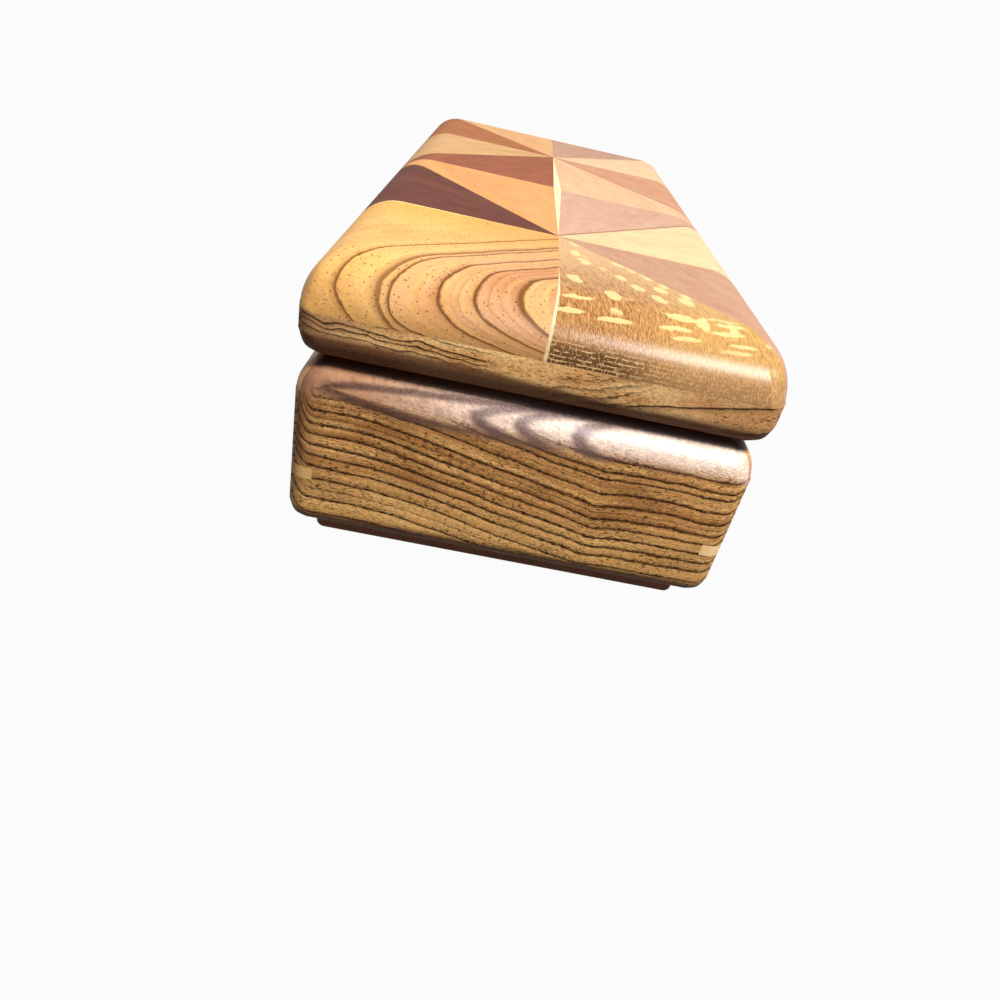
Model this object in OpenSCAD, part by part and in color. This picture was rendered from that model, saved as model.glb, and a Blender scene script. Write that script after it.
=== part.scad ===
// Hinged trinket box of solid wood, with a lid of thick wedges in fans of mixed timbers.
// Millimetres. +X runs along the box, from its near end to its far end, +Y to its hinged back, +Z up.
// The origin is on the underside of the base board, below the middle of the box.

/* [Box body] */
// Length over the end boards
box_length = 244; // [200:1:320]
// Width over the side boards
box_width = 110; // [96:1:150]
// Height of the boards, from their lower edge to the rim
body_height = 45; // [34:1:80]
// Thickness of the boards
wall = 12; // [11:0.5:16]
// Radius of the upright corners
corner_round = 4.6; // [3:0.1:6]
// Radius worked along the outer top edge of the body
body_top_round = 9; // [7:0.1:9.5]
// Radius worked along the outer bottom edge of the body
body_bottom_round = 5.5; // [2:0.1:6]

/* [Base board] */
// Thickness of the board that closes the box from below
base_thickness = 4.8; // [3:0.1:8]
// How far the base board stands in from the body all round
base_inset = 6.4; // [6:0.1:9]
// Radius of its upright corners
base_corner = 2.5; // [1:0.1:5]
// Radius along its lower edge
base_edge_round = 1.2; // [0.5:0.1:2]

/* [Corner keys] */
// Thickness of each key, one saw cut wide
key_thickness = 3.2; // [2:0.1:5]
// Length of a key along each face, from the unrounded corner
key_leg = 6; // [4.5:0.1:9]
// Height of the keys' middle above the body's lower edge
key_height = 15.4; // [9:0.1:22]

/* [Lid] */
// How far the lid stands past the body all round
lid_overhang = 0.2; // [0:0.05:1]
// Height of the frame of rails under the wedges
rail_height = 11; // [8.5:0.1:14]
// Thickness of the wedges
wedge_thickness = 13.6; // [13.2:0.1:20]
// Radius worked along the outer top edge of the lid
lid_top_round = 13; // [6:0.1:13.1]
// Radius worked along the outer bottom edge of the lid
lid_bottom_round = 6; // [3:0.1:7]
// Thickness of the backing panel let in between the rails
panel_thickness = 4; // [3:0.5:5]

/* [Wedge pattern] */
// Distance of the near fan's centre from the near end
near_fan = 54.5; // [40:0.5:70]
// Distance of the far fan's centre from the far end
far_fan = 61; // [40:0.5:70]
// Distance of the middle cross joint from the middle of the box, towards the near end
cross_joint = 3.4; // [0:0.1:10]
// Step in the cross joint from the back half of the lid to the front half
cross_step = 3; // [0:0.5:6]
// Width of the pale sliver in the centre joint at the cross joint
sliver_width = 2.5; // [1:0.1:4]
// How far the sliver's widest point lies towards the front
sliver_offset = 0.75; // [0:0.05:1.5]
// Length of the pale line that runs in from the near end
near_line_length = 25; // [10:1:35]
// Width of that line at the near end
near_line_width = 0.8; // [0.4:0.1:2]
// How far that line has drifted towards the back at the near end
near_line_drift = 0.6; // [0:0.1:2]

/* [Hinges] */
// Distance of a hinge's middle from the end of the box
hinge_inset = 49; // [40:1:60]
// Length of a hinge
hinge_length = 30; // [20:1:40]
// Knuckles in a hinge, the outer ones on the body's leaf
knuckle_count = 5; // [3:2:7]
// Distance of the hinge axis in from the back of the body
axis_inset = 2.5; // [2.2:0.1:3]
// Outer radius of the knuckles
knuckle_radius = 1.9; // [1.6:0.05:2]
// Radius of the hinge pin
pin_radius = 0.9; // [0.7:0.05:1.1]
// Thickness of a leaf
leaf_thickness = 1; // [0.8:0.1:1.4]
// Wood left between a leaf and the inside of the box
leaf_margin = 0.5; // [0.2:0.1:1.5]
// Radial clearance of the pin in its knuckles
pin_clearance = 0.05; // [0.02:0.01:0.1]
// Gap between neighbouring knuckles
knuckle_gap = 0.15; // [0.1:0.05:0.3]
// Gap between the closed leaves on each side of the joint plane
leaf_gap = 0.1; // [0.05:0.05:0.2]
// Clearance of the wood round the knuckles
knuckle_relief = 0.3; // [0.2:0.05:0.5]

/* [Screws] */
// Radius of a screw's head
screw_head_radius = 1.9; // [1.6:0.1:2.1]
// Radius of a screw's shank
screw_radius = 1; // [0.7:0.05:1.2]
// Length of a screw with its head
screw_length = 6; // [4:0.5:6.3]
// Distance of a screw's middle from the end of its leaf
screw_inset = 6; // [4:0.5:7]

/* [Lining] */
// Thickness of the felt on the floor
lining_thickness = 1.5; // [1:0.1:4]
// Gap between the felt and the walls
lining_clearance = 0.4; // [0.2:0.1:1]

/* [Hidden] */
$fn = 64;

// Heights of the main joints
rim_z = base_thickness + body_height;
rail_top_z = rim_z + rail_height;
half_length = box_length / 2;
half_width = box_width / 2;
lid_half_length = half_length + lid_overhang;
lid_half_width = half_width + lid_overhang;

// Points of the wedge pattern, seen from above
past_edge = 8;
tip_margin = 0.3;
near_centre = [near_fan - half_length, 0];
far_centre = [half_length - far_fan, 0];
sliver_back = [cross_step / 2 - cross_joint, sliver_width / 2 - sliver_offset];
sliver_front = [-cross_step / 2 - cross_joint, -sliver_width / 2 - sliver_offset];
back_tip = [sliver_back[0], lid_half_width - tip_margin];
front_tip = [sliver_front[0], tip_margin - lid_half_width];
line_tip_x = near_line_length - lid_half_length;
line_start = [line_tip_x, near_line_drift * (near_centre[0] - line_tip_x) / near_fan];
outer_x = lid_half_length + past_edge;
outer_y = lid_half_width + past_edge;

// Hinge axis and the places of the hinges and screws
axis_y = half_width - axis_inset;
hinge_places = [hinge_inset - half_length, half_length - hinge_inset];
leaf_reach = wall - axis_inset - leaf_margin;
knuckle_length = (hinge_length - (knuckle_count - 1) * knuckle_gap) / knuckle_count;
plate_end = knuckle_radius + knuckle_relief;
screw_x = hinge_length / 2 - screw_inset;
screw_y = -(leaf_reach + plate_end) / 2;
fit_gap = 0.05;
head_depth = screw_head_radius - screw_radius;
slot_width = 0.6;
slot_depth = 0.4;
cut = 1;

// Timber and metal colours
zebrawood = [0.72, 0.52, 0.31];
dark_base = [0.33, 0.20, 0.13];
pale_maple = [0.93, 0.80, 0.58];
golden = [0.86, 0.62, 0.25];
leopardwood = [0.62, 0.43, 0.24];
pink_brown = [0.72, 0.51, 0.40];
walnut = [0.42, 0.26, 0.20];
orange = [0.85, 0.58, 0.33];
red_brown = [0.62, 0.36, 0.27];
tan = [0.82, 0.63, 0.42];
brass = [0.80, 0.64, 0.30];

// Waste that a rounding cutter takes off a square edge, from the round's centre outwards
module edge_waste(radius) {
    difference() {
        square(radius + cut);
        circle(radius);
    }
}

// Section across a block with its top and bottom edges rounded, standing on the x axis
module edge_section(width, height, top, bottom) {
    difference() {
        translate([-width / 2, 0]) square([width, height]);
        for (side = [0, 1])
            mirror([side, 0]) {
                translate([width / 2 - top, height - top]) edge_waste(top);
                translate([width / 2 - bottom, bottom]) mirror([0, 1]) edge_waste(bottom);
            }
    }
}

// One upright corner as a router leaves it: the section turned round the corner's own centre
module turned_corner(height, corner, top, bottom) {
    reach = corner + top + bottom;
    rotate_extrude(angle = 90)
        intersection() {
            translate([corner - reach, 0]) edge_section(2 * reach, height, top, bottom);
            square([corner, height]);
        }
}

// Outer form of the body or lid: a block with rounded top and bottom edges and upright corners
module rounded_block(length, width, height, corner, top, bottom) {
    difference() {
        intersection() {
            rotate([90, 0, 90]) linear_extrude(length, center = true) edge_section(width, height, top, bottom);
            rotate([90, 0, 0]) linear_extrude(width, center = true) edge_section(length, height, top, bottom);
        }
        for (x = [-1, 1], y = [-1, 1])
            translate([x * length / 2, y * width / 2, height / 2])
                cube([2 * corner, 2 * corner, height + 2 * cut], center = true);
    }
    for (quarter = [0, 1, 2, 3]) {
        x = (quarter == 0 || quarter == 3) ? 1 : -1;
        y = (quarter < 2) ? 1 : -1;
        translate([x * (length / 2 - corner), y * (width / 2 - corner), 0])
            rotate([0, 0, 90 * quarter]) turned_corner(height, corner, top, bottom);
    }
}

module body_form() {
    translate([0, 0, base_thickness])
        rounded_block(box_length, box_width, body_height, corner_round, body_top_round, body_bottom_round);
}

module lid_form() {
    translate([0, 0, rim_z])
        rounded_block(2 * lid_half_length, 2 * lid_half_width, rail_height + wedge_thickness,
            corner_round, lid_top_round, lid_bottom_round);
}

// Plan of an end board: mitred at both ends; side is -1 for the near end and 1 for the far end
module end_plan(half_l, half_w, thickness, side) {
    polygon([
        [side * (half_l + cut), -(half_w + cut)],
        [side * (half_l + cut), half_w + cut],
        [side * (half_l - thickness), half_w - thickness],
        [side * (half_l - thickness), thickness - half_w]
    ]);
}

// Plan of a side board: side is -1 for the front and 1 for the back
module side_plan(half_l, half_w, thickness, side) {
    polygon([
        [-(half_l + cut), side * (half_w + cut)],
        [half_l + cut, side * (half_w + cut)],
        [half_l - thickness, side * (half_w - thickness)],
        [thickness - half_l, side * (half_w - thickness)]
    ]);
}

// The saw cut across one corner of the body that takes a key
module key_slot(x, y) {
    translate([0, 0, base_thickness + key_height - key_thickness / 2])
        linear_extrude(key_thickness)
            polygon([
                [x * (half_length - key_leg - cut), y * (half_width + cut)],
                [x * (half_length + cut), y * (half_width + cut)],
                [x * (half_length + cut), y * (half_width - key_leg - cut)]
            ]);
}

// Both screw places of a leaf, drawn on the body's side of the joint
module at_screws() {
    for (x = [-screw_x, screw_x]) translate([x, screw_y, -leaf_gap]) children();
}

// A countersunk screw with its head at the top, pointing down; extra widens it into its own hole
module screw_form(extra) {
    translate([0, 0, -head_depth])
        cylinder(r1 = screw_radius + extra, r2 = screw_head_radius + extra, h = head_depth);
    translate([0, 0, -screw_length]) cylinder(r = screw_radius + extra, h = screw_length - head_depth);
}

// Puts a piece of a hinge, drawn round its axis, in its place at the rim
module at_hinge(place) {
    translate([place, axis_y, rim_z]) children();
}

// Turns what is drawn for the body's side of the joint over to the lid's side
module on_lid_side() {
    mirror([0, 0, 1]) children();
}

// Pocket for one hinge: the leaf's mortise, the channel round the knuckles and the screw holes
module hinge_pocket() {
    translate([-hinge_length / 2 - fit_gap, -leaf_reach - fit_gap, -leaf_gap - leaf_thickness])
        cube([hinge_length + 2 * fit_gap, leaf_reach + fit_gap, leaf_gap + leaf_thickness + cut]);
    rotate([0, 90, 0]) cylinder(r = plate_end, h = hinge_length + 2 * knuckle_relief, center = true);
    at_screws() screw_form(fit_gap);
}

module body_board() {
    difference() {
        intersection() {
            body_form();
            translate([0, 0, base_thickness - cut]) linear_extrude(body_height + 2 * cut) children();
        }
        for (x = [-1, 1], y = [-1, 1]) key_slot(x, y);
    }
}

module lid_rail() {
    intersection() {
        lid_form();
        translate([0, 0, rim_z - cut]) linear_extrude(rail_height + cut) children();
    }
}

module base_board() {
    color(dark_base)
        rounded_block(box_length - 2 * base_inset, box_width - 2 * base_inset, base_thickness,
            base_corner, base_edge_round, base_edge_round);
}

module end_board(side) {
    color(zebrawood) body_board() end_plan(half_length, half_width, wall, side);
}

module side_board_front() {
    color(zebrawood) body_board() side_plan(half_length, half_width, wall, -1);
}

module side_board_back() {
    color(zebrawood)
        difference() {
            body_board() side_plan(half_length, half_width, wall, 1);
            for (place = hinge_places) at_hinge(place) hinge_pocket();
        }
}

module corner_key(x, y) {
    color(pale_maple)
        intersection() {
            body_form();
            key_slot(x, y);
        }
}

module floor_lining() {
    gap = wall + lining_clearance;
    color("darkgreen")
        translate([gap - half_length, gap - half_width, base_thickness])
            cube([box_length - 2 * gap, box_width - 2 * gap, lining_thickness]);
}

module lid_rail_end(side) {
    color(zebrawood) lid_rail() end_plan(lid_half_length, lid_half_width, wall + lid_overhang, side);
}

module lid_rail_front() {
    color(zebrawood) lid_rail() side_plan(lid_half_length, lid_half_width, wall + lid_overhang, -1);
}

module lid_rail_back() {
    color(zebrawood)
        difference() {
            lid_rail() side_plan(lid_half_length, lid_half_width, wall + lid_overhang, 1);
            for (place = hinge_places) at_hinge(place) on_lid_side() hinge_pocket();
        }
}

module lid_backing_panel() {
    color(pink_brown)
        translate([wall - half_length, wall - half_width, rail_top_z - panel_thickness])
            cube([box_length - 2 * wall, box_width - 2 * wall, panel_thickness]);
}

// One piece of the lid's top, cut to its plan and worked to the lid's outer form
module top_piece(points) {
    intersection() {
        lid_form();
        translate([0, 0, rail_top_z]) linear_extrude(wedge_thickness + cut) polygon(points);
    }
}

// A point on the line from a fan's centre through a corner of the lid, carried on past the edge
function through_corner(centre, x, y) =
    let (corner = [x * lid_half_length, y * lid_half_width])
    centre + (corner - centre) * outer_y / lid_half_width;

module square_near_back() {
    color(golden)
        top_piece([
            near_centre,
            line_start,
            [-lid_half_length, near_line_drift + near_line_width / 2],
            [-outer_x, near_line_drift + near_line_width / 2],
            [-outer_x, outer_y],
            [near_centre[0], outer_y]
        ]);
}

module wedge_near_front_end() {
    diagonal = through_corner(near_centre, -1, -1);
    color(leopardwood)
        top_piece([
            near_centre,
            diagonal,
            [diagonal[0], near_line_drift - near_line_width / 2],
            [-lid_half_length, near_line_drift - near_line_width / 2],
            line_start
        ]);
}

module wedge_near_front_side() {
    color(pink_brown)
        top_piece([near_centre, through_corner(near_centre, -1, -1), [near_centre[0], -outer_y]]);
}

module wedge_second_back_side() {
    color(walnut)
        top_piece([near_centre, [near_centre[0], outer_y], [back_tip[0], outer_y], back_tip]);
}

module wedge_second_back_centre() {
    color(orange) top_piece([near_centre, sliver_back, back_tip]);
}

module wedge_second_front_centre() {
    color(pink_brown) top_piece([near_centre, sliver_front, front_tip]);
}

module wedge_second_front_side() {
    color(pale_maple)
        top_piece([near_centre, [near_centre[0], -outer_y], [front_tip[0], -outer_y], front_tip]);
}

module wedge_third_back_centre() {
    color(red_brown) top_piece([far_centre, sliver_back, back_tip]);
}

module wedge_third_back_side() {
    color(tan)
        top_piece([far_centre, [far_centre[0], outer_y], [back_tip[0], outer_y], back_tip]);
}

module wedge_third_front_centre() {
    color(orange) top_piece([far_centre, sliver_front, front_tip]);
}

module wedge_third_front_side() {
    color(pink_brown)
        top_piece([far_centre, [far_centre[0], -outer_y], [front_tip[0], -outer_y], front_tip]);
}

module wedge_far_back_side() {
    color(red_brown)
        top_piece([far_centre, through_corner(far_centre, 1, 1), [far_centre[0], outer_y]]);
}

module wedge_far_back_end() {
    diagonal = through_corner(far_centre, 1, 1);
    color(orange) top_piece([far_centre, diagonal, [diagonal[0], 0]]);
}

module wedge_far_front_side() {
    color(tan)
        top_piece([far_centre, through_corner(far_centre, 1, -1), [far_centre[0], -outer_y]]);
}

module wedge_far_front_end() {
    diagonal = through_corner(far_centre, 1, -1);
    color(pink_brown) top_piece([far_centre, diagonal, [diagonal[0], 0]]);
}

module centre_sliver() {
    color(pale_maple) top_piece([near_centre, sliver_front, far_centre, sliver_back]);
}

module near_line_sliver() {
    color(pale_maple)
        top_piece([
            line_start,
            [-lid_half_length, near_line_drift + near_line_width / 2],
            [-outer_x, near_line_drift + near_line_width / 2],
            [-outer_x, near_line_drift - near_line_width / 2],
            [-lid_half_length, near_line_drift - near_line_width / 2]
        ]);
}

// Leaf of a hinge, drawn on the body's side of the joint: first is 0 for the leaf with the outer knuckles
module hinge_leaf(first) {
    pitch = knuckle_length + knuckle_gap;
    difference() {
        union() {
            translate([-hinge_length / 2, -leaf_reach, -leaf_gap - leaf_thickness])
                cube([hinge_length, leaf_reach - plate_end, leaf_thickness]);
            for (index = [first : 2 : knuckle_count - 1])
                translate([-hinge_length / 2 + index * pitch, 0, 0]) {
                    translate([0, -plate_end - cut, -leaf_gap - leaf_thickness])
                        cube([knuckle_length, plate_end + cut, leaf_thickness]);
                    rotate([0, 90, 0]) cylinder(r = knuckle_radius, h = knuckle_length);
                }
        }
        rotate([0, 90, 0])
            cylinder(r = pin_radius + pin_clearance, h = hinge_length + 2 * cut, center = true);
        at_screws() screw_form(fit_gap);
    }
}

module screw() {
    difference() {
        screw_form(0);
        cube([2 * screw_head_radius + cut, slot_width, 2 * slot_depth], center = true);
    }
}

module body_leaf(place) {
    color(brass) at_hinge(place) hinge_leaf(0);
}

module lid_leaf(place) {
    color(brass) at_hinge(place) on_lid_side() hinge_leaf(1);
}

module hinge_pin(place) {
    color(brass)
        at_hinge(place) rotate([0, 90, 0]) cylinder(r = pin_radius, h = hinge_length, center = true);
}

module hinge_body_screws() {
    color(brass) for (place = hinge_places) at_hinge(place) at_screws() screw();
}

module hinge_lid_screws() {
    color(brass) for (place = hinge_places) at_hinge(place) on_lid_side() at_screws() screw();
}

base_board();
end_board(-1);  // end_board_near
end_board(1);  // end_board_far
side_board_front();
side_board_back();
corner_key(-1, -1);  // corner_key_near_front
corner_key(-1, 1);  // corner_key_near_back
corner_key(1, -1);  // corner_key_far_front
corner_key(1, 1);  // corner_key_far_back
floor_lining();
body_leaf(hinge_places[0]);  // hinge_near_body_leaf
body_leaf(hinge_places[1]);  // hinge_far_body_leaf
hinge_pin(hinge_places[0]);  // hinge_near_pin
hinge_pin(hinge_places[1]);  // hinge_far_pin
hinge_body_screws();
lid_rail_end(-1);  // lid_rail_near
lid_rail_end(1);  // lid_rail_far
lid_rail_front();
lid_rail_back();
lid_backing_panel();
square_near_back();
wedge_near_front_end();
wedge_near_front_side();
wedge_second_back_side();
wedge_second_back_centre();
wedge_second_front_centre();
wedge_second_front_side();
wedge_third_back_centre();
wedge_third_back_side();
wedge_third_front_centre();
wedge_third_front_side();
wedge_far_back_side();
wedge_far_back_end();
wedge_far_front_side();
wedge_far_front_end();
centre_sliver();
near_line_sliver();
lid_leaf(hinge_places[0]);  // hinge_near_lid_leaf
lid_leaf(hinge_places[1]);  // hinge_far_lid_leaf
hinge_lid_screws();
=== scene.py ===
from math import cos, pi, radians, sin

import bpy
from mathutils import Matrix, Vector


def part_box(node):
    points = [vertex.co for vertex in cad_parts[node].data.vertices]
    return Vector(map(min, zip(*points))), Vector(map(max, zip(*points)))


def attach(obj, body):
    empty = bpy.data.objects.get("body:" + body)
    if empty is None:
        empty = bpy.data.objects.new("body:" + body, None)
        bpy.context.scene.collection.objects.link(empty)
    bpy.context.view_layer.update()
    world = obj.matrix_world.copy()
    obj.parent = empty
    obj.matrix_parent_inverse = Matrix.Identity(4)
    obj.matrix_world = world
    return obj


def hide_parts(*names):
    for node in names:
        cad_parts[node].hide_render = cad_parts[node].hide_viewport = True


# Wooden trinket box with keyed mitres and a hinged lid of thick wedges that meet in two fans.
# Metres, in the row frame: +X to the far end, +Y to the hinged back, +Z up. Finishes work in millimetres.

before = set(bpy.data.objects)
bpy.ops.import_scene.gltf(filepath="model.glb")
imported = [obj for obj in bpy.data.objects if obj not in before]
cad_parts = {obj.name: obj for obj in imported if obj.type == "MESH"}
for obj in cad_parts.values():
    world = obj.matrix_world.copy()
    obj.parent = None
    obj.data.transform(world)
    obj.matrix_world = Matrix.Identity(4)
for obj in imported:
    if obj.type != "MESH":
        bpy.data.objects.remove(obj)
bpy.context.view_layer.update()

MM = 0.001
TINY = 1e-6


def low(node):
    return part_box(node)[0]


def high(node):
    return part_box(node)[1]


# Main sizes, read from the frame
BODY_LOW = Vector((low("end_board_near").x, low("side_board_front").y, low("end_board_near").z))
BODY_HIGH = Vector((high("end_board_far").x, high("side_board_back").y, high("end_board_near").z))
LID_LOW = Vector((low("lid_rail_near").x, low("lid_rail_front").y, low("lid_rail_near").z))
LID_HIGH = Vector((high("lid_rail_far").x, high("lid_rail_back").y, high("square_near_back").z))
RIM_Z = BODY_HIGH.z
RAIL_TOP = high("lid_rail_near").z
WALL = high("end_board_near").x - BODY_LOW.x
LID_WALL = high("lid_rail_near").x - LID_LOW.x

# Rounds of the outer edges
BODY_TOP_ROUND = 9 * MM
BODY_BOTTOM_ROUND = 5.5 * MM
LID_TOP_ROUND = 13 * MM
LID_BOTTOM_ROUND = 6 * MM
UPRIGHT_ROUND = 4.6 * MM
ROUND_STEPS = 16

# Points of the wedge pattern, seen from above, read from the pieces that end there
NEAR_CENTRE = Vector((high("wedge_near_front_side").x, 0, 0))
FAR_CENTRE = Vector((low("wedge_far_back_side").x, 0, 0))
SLIVER_BACK = Vector((high("wedge_second_back_side").x, high("centre_sliver").y, 0))
SLIVER_FRONT = Vector((high("wedge_second_front_side").x, low("centre_sliver").y, 0))
TIP_MARGIN = 0.3 * MM
BACK_TIP = Vector((SLIVER_BACK.x, LID_HIGH.y - TIP_MARGIN, 0))
FRONT_TIP = Vector((SLIVER_FRONT.x, LID_LOW.y + TIP_MARGIN, 0))
LINE_OFF_MIDDLE = 0.327 * MM
LINE_START = Vector((high("near_line_sliver").x, LINE_OFF_MIDDLE, 0))
LINE_BACK = Vector((LID_LOW.x, high("near_line_sliver").y, 0))
LINE_FRONT = Vector((LID_LOW.x, low("near_line_sliver").y, 0))
OUTSIDE = 8 * MM


# Woodworking


def only(piece):
    """Makes a piece the one that the next tool works on."""
    bpy.ops.object.select_all(action="DESELECT")
    piece.select_set(True)
    bpy.context.view_layer.objects.active = piece


def soft_block(name, corner_low, corner_high, top, upright, bottom):
    """A block with its edges rounded and sanded, so that the rounds run into soft corners."""
    bpy.ops.object.select_all(action="DESELECT")
    bpy.ops.mesh.primitive_cube_add(size=1, location=(corner_low + corner_high) / 2)
    block = bpy.context.object
    block.name = name
    block.scale = corner_high - corner_low
    bpy.ops.object.transform_apply(location=True, rotation=True, scale=True)
    weights = block.data.attributes.new("bevel_weight_edge", "FLOAT", "EDGE")
    middle = (corner_low.z + corner_high.z) / 2
    for edge in block.data.edges:
        first, second = (block.data.vertices[i].co for i in edge.vertices)
        if abs(first.z - second.z) > TINY:
            weights.data[edge.index].value = upright / top
        elif first.z > middle:
            weights.data[edge.index].value = 1
        else:
            weights.data[edge.index].value = bottom / top
    rounds = block.modifiers.new("rounds", "BEVEL")
    rounds.limit_method = "WEIGHT"
    rounds.width = top
    rounds.segments = ROUND_STEPS
    bpy.ops.object.modifier_apply(modifier="rounds")
    return block


def copy_of(piece, name):
    """A copy of a piece with its own mesh."""
    twin = piece.copy()
    twin.data = piece.data.copy()
    twin.name = name
    twin.data.name = name
    bpy.context.scene.collection.objects.link(twin)
    return twin


def saw(piece, point, normal):
    """Saws a piece along a plane and drops the side that the normal points to."""
    only(piece)
    bpy.ops.object.mode_set(mode="EDIT")
    bpy.ops.mesh.select_all(action="SELECT")
    bpy.ops.mesh.bisect(plane_co=point, plane_no=normal, use_fill=True, clear_outer=True, threshold=TINY)
    bpy.ops.object.mode_set(mode="OBJECT")


def saw_plan(piece, plan):
    """Saws a piece to a plan with straight sides and no inward corners."""
    centre = sum(plan, Vector()) / len(plan)
    for start, end in zip(plan, plan[1:] + plan[:1]):
        side = end - start
        normal = Vector((side.y, -side.x, 0))
        if normal.dot(centre - start) > 0:
            normal = -normal
        saw(piece, start, normal)


def cut_away(piece, cutter):
    """Cuts a cutter's shape out of a piece and puts the cutter away."""
    only(piece)
    cutting = piece.modifiers.new("cut", "BOOLEAN")
    cutting.operation = "DIFFERENCE"
    cutting.solver = "EXACT"
    cutting.object = cutter
    bpy.ops.object.modifier_apply(modifier="cut")
    bpy.data.objects.remove(cutter)


def bar(corner_low, corner_high):
    """A square bar for cutting with, from corner to corner."""
    bpy.ops.object.select_all(action="DESELECT")
    bpy.ops.mesh.primitive_cube_add(size=1, location=(corner_low + corner_high) / 2)
    made = bpy.context.object
    made.scale = corner_high - corner_low
    bpy.ops.object.transform_apply(location=True, rotation=True, scale=True)
    return made


def rod(centre, radius, length):
    """A round rod along the box for cutting with."""
    bpy.ops.object.select_all(action="DESELECT")
    bpy.ops.mesh.primitive_cylinder_add(
        vertices=48, radius=radius, depth=length, location=centre, rotation=(0, pi / 2, 0)
    )
    made = bpy.context.object
    bpy.ops.object.transform_apply(location=True, rotation=True, scale=True)
    return made


def fit(piece, node, body, finish):
    """Shades a finished piece, gives it its finish and sets it in the place of its CAD node."""
    only(piece)
    bpy.ops.object.shade_smooth_by_angle(angle=radians(30))
    even = piece.modifiers.new("even", "WEIGHTED_NORMAL")
    even.keep_sharp = True
    bpy.ops.object.modifier_apply(modifier="even")
    piece.data.materials.clear()
    piece.data.materials.append(finish)
    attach(piece, body)
    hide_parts(node)


# Finishes

PORE_DEPTH = 0.05 * MM


class Value:
    """A number or colour in a finish. Sums on it add Math nodes."""

    def __init__(self, finish, socket):
        self.finish = finish
        self.socket = socket

    def other(self, output):
        """Another output of the same node."""
        return Value(self.finish, self.socket.node.outputs[output])

    def __add__(self, number):
        return self.finish.sum("ADD", self, number)

    __radd__ = __add__

    def __sub__(self, number):
        return self.finish.sum("SUBTRACT", self, number)

    def __rsub__(self, number):
        return self.finish.sum("SUBTRACT", number, self)

    def __mul__(self, number):
        return self.finish.sum("MULTIPLY", self, number)

    __rmul__ = __mul__

    def __truediv__(self, number):
        return self.finish.sum("DIVIDE", self, number)

    def __rtruediv__(self, number):
        return self.finish.sum("DIVIDE", number, self)

    def __pow__(self, number):
        return self.finish.sum("POWER", self, number)

    def __abs__(self):
        return self.finish.sum("ABSOLUTE", self)


class Finish:
    """The nodes of one finish, which work from the place on the piece in millimetres."""

    def __init__(self, name):
        self.material = bpy.data.materials.new(name)
        self.material.use_nodes = True
        self.tree = self.material.node_tree
        self.shader = self.tree.nodes["Principled BSDF"]
        metres = self.node("ShaderNodeTexCoord", output="Object")
        in_millimetres = {"Vector": metres, "Scale": 1 / MM}
        self.place = self.node("ShaderNodeVectorMath", {"operation": "SCALE"}, in_millimetres)
        self.x = self.node("ShaderNodeSeparateXYZ", inputs={"Vector": self.place})
        self.y = self.x.other("Y")
        self.z = self.x.other("Z")

    def node(self, kind, settings=None, inputs=None, output=0):
        """Adds a node, sets it up, feeds its sockets and gives one of its outputs."""
        node = self.tree.nodes.new(kind)
        for key, setting in (settings or {}).items():
            if key == "stops":
                self.set_stops(node.color_ramp, setting)
            else:
                setattr(node, key, setting)
        for key, given in (inputs or {}).items():
            self.feed(node.inputs[key], given)
        return Value(self, node.outputs[output])

    def set_stops(self, ramp, stops):
        while len(ramp.elements) < len(stops):
            ramp.elements.new(1)
        for element, (position, colour) in zip(ramp.elements, stops):
            element.position = position
            element.color = (*colour, 1)

    def feed(self, socket, given):
        if isinstance(given, Value):
            self.tree.links.new(given.socket, socket)
        elif hasattr(given, "__len__") and len(given) == 3 and len(socket.default_value) == 4:
            socket.default_value = (*given, 1)
        else:
            socket.default_value = given

    def sum(self, operation, *numbers):
        return self.node("ShaderNodeMath", {"operation": operation}, dict(enumerate(numbers)))

    def vector(self, x, y, z):
        return self.node("ShaderNodeCombineXYZ", inputs={"X": x, "Y": y, "Z": z})

    def smooth(self, value, start, end):
        """Rises from 0 to 1 as the value goes from start to end."""
        inputs = {"Value": value, "From Min": start, "From Max": end}
        return self.node("ShaderNodeMapRange", {"interpolation_type": "SMOOTHSTEP"}, inputs)

    def noise(self, vector, scale=1, detail=3, roughness=0.5):
        inputs = {"Vector": vector, "Scale": scale, "Detail": detail, "Roughness": roughness}
        return self.node("ShaderNodeTexNoise", inputs=inputs, output="Fac")

    def mix(self, factor, under, over):
        settings = {"data_type": "RGBA", "blend_type": "MIX"}
        return self.node("ShaderNodeMix", settings, {0: factor, 6: under, 7: over}, output=2)

    def lacquer(self, colour, relief, coat=0.22, blur=0.36):
        """Clear lacquer over the wood, which dips a little where relief is low."""
        self.feed(self.shader.inputs["Base Color"], colour)
        cloud = self.noise(self.place, 0.08, 2)
        self.feed(self.shader.inputs["Roughness"], 0.5 + 0.08 * (cloud - 0.5) + 0.1 * (1 - relief))
        self.feed(self.shader.inputs["Specular IOR Level"], 0.0)
        self.feed(self.shader.inputs["Coat Weight"], coat)
        self.feed(self.shader.inputs["Coat Roughness"], blur)
        self.feed(self.shader.inputs["Coat IOR"], 1.4)
        levels = {"Strength": 0.6, "Distance": PORE_DEPTH, "Height": relief}
        bump = self.node("ShaderNodeBump", inputs=levels)
        self.feed(self.shader.inputs["Normal"], bump)
        return self.material


def tint(red, green, blue):
    """A colour as seen on a screen, 0 to 255, as the light that it stands for."""
    channels = []
    for level in (red, green, blue):
        share = level / 255
        channels.append(share / 12.92 if share < 0.04045 else ((share + 0.055) / 1.055) ** 2.4)
    return tuple(channels)


HALO_LEVEL = 0.36


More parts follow.
